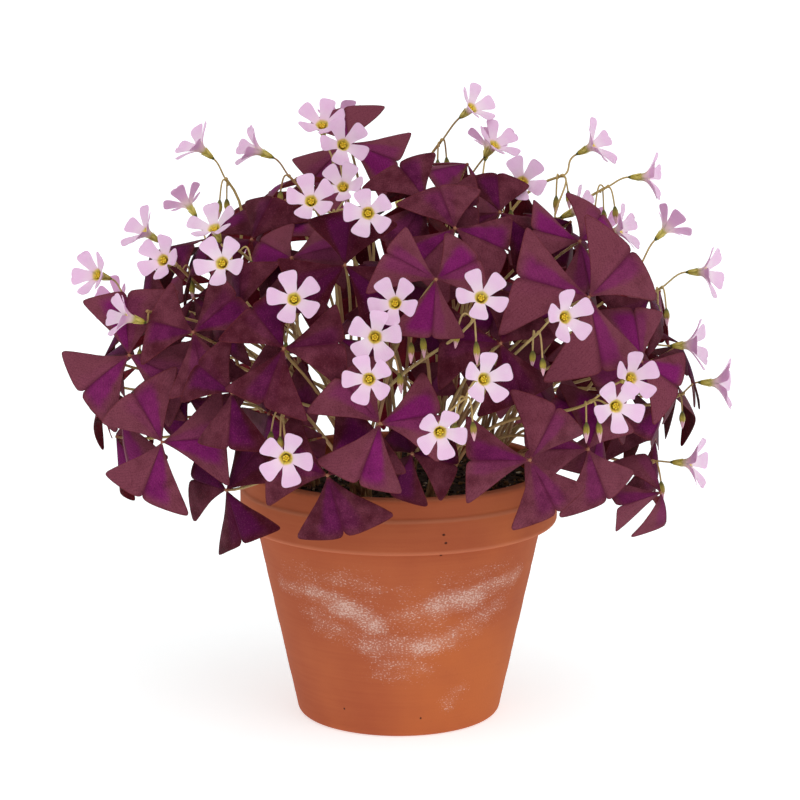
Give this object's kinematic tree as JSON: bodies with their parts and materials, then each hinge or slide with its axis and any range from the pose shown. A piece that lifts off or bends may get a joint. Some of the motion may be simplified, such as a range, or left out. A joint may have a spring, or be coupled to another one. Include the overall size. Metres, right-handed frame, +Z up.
{
  "type": "potted purple shamrock",
  "caption": "Purple shamrock plant with folded three-part dark leaves and pale pink blooms, growing from soil in a tapered clay pot.",
  "frame": {"origin": "centre of the pot's underside, on the surface the pot stands on", "axes": "+Z up along the pot's axis; the front, from which the plant is seen, faces -Y; +X is to the right"},
  "size_m": [0.3084, 0.306, 0.2975],
  "materials": {
    "clay": "unglazed, matt, with pale salt bloom",
    "earth": "dark moist potting soil",
    "leaf_purple": "soft satin leaf",
    "petal_pink": "soft matt petal"
  },
  "bodies": {
    "root": {"pot": "clay", "soil": "earth", "crown_01": "leaf_purple", "crown_02": "leaf_purple", "crown_03": "leaf_purple", "crown_04": "leaf_purple", "crown_05": "leaf_purple", "crown_06": "leaf_purple", "crown_07": "leaf_purple", "crown_08": "leaf_purple", "crown_09": "leaf_purple", "crown_10": "leaf_purple", "crown_11": "leaf_purple", "crown_12": "leaf_purple", "bloom_01": "petal_pink", "bloom_02": "petal_pink", "bloom_03": "petal_pink", "bloom_04": "petal_pink", "bloom_05": "petal_pink", "bloom_06": "petal_pink", "bloom_07": "petal_pink", "bloom_08": "petal_pink", "bloom_09": "petal_pink", "bloom_10": "petal_pink", "bloom_11": "petal_pink", "bloom_12": "petal_pink", "bloom_13": "petal_pink", "bloom_14": "petal_pink", "bloom_15": "petal_pink", "bloom_16": "petal_pink", "bloom_17": "petal_pink", "bloom_18": "petal_pink", "bloom_19": "petal_pink", "bloom_20": "petal_pink", "bloom_21": "petal_pink", "bloom_22": "petal_pink", "bloom_23": "petal_pink", "bloom_24": "petal_pink", "bloom_25": "petal_pink", "bloom_26": "petal_pink", "bloom_27": "petal_pink", "bloom_28": "petal_pink", "bloom_29": "petal_pink", "bloom_30": "petal_pink", "bloom_31": "petal_pink", "bloom_32": "petal_pink", "bloom_33": "petal_pink", "bloom_34": "petal_pink", "bloom_35": "petal_pink", "bloom_36": "petal_pink", "bloom_37": "petal_pink", "bloom_38": "petal_pink", "bloom_39": "petal_pink", "bloom_40": "petal_pink", "bloom_41": "petal_pink", "bloom_42": "petal_pink", "bloom_43": "petal_pink"}
  },
  "joints": []
}
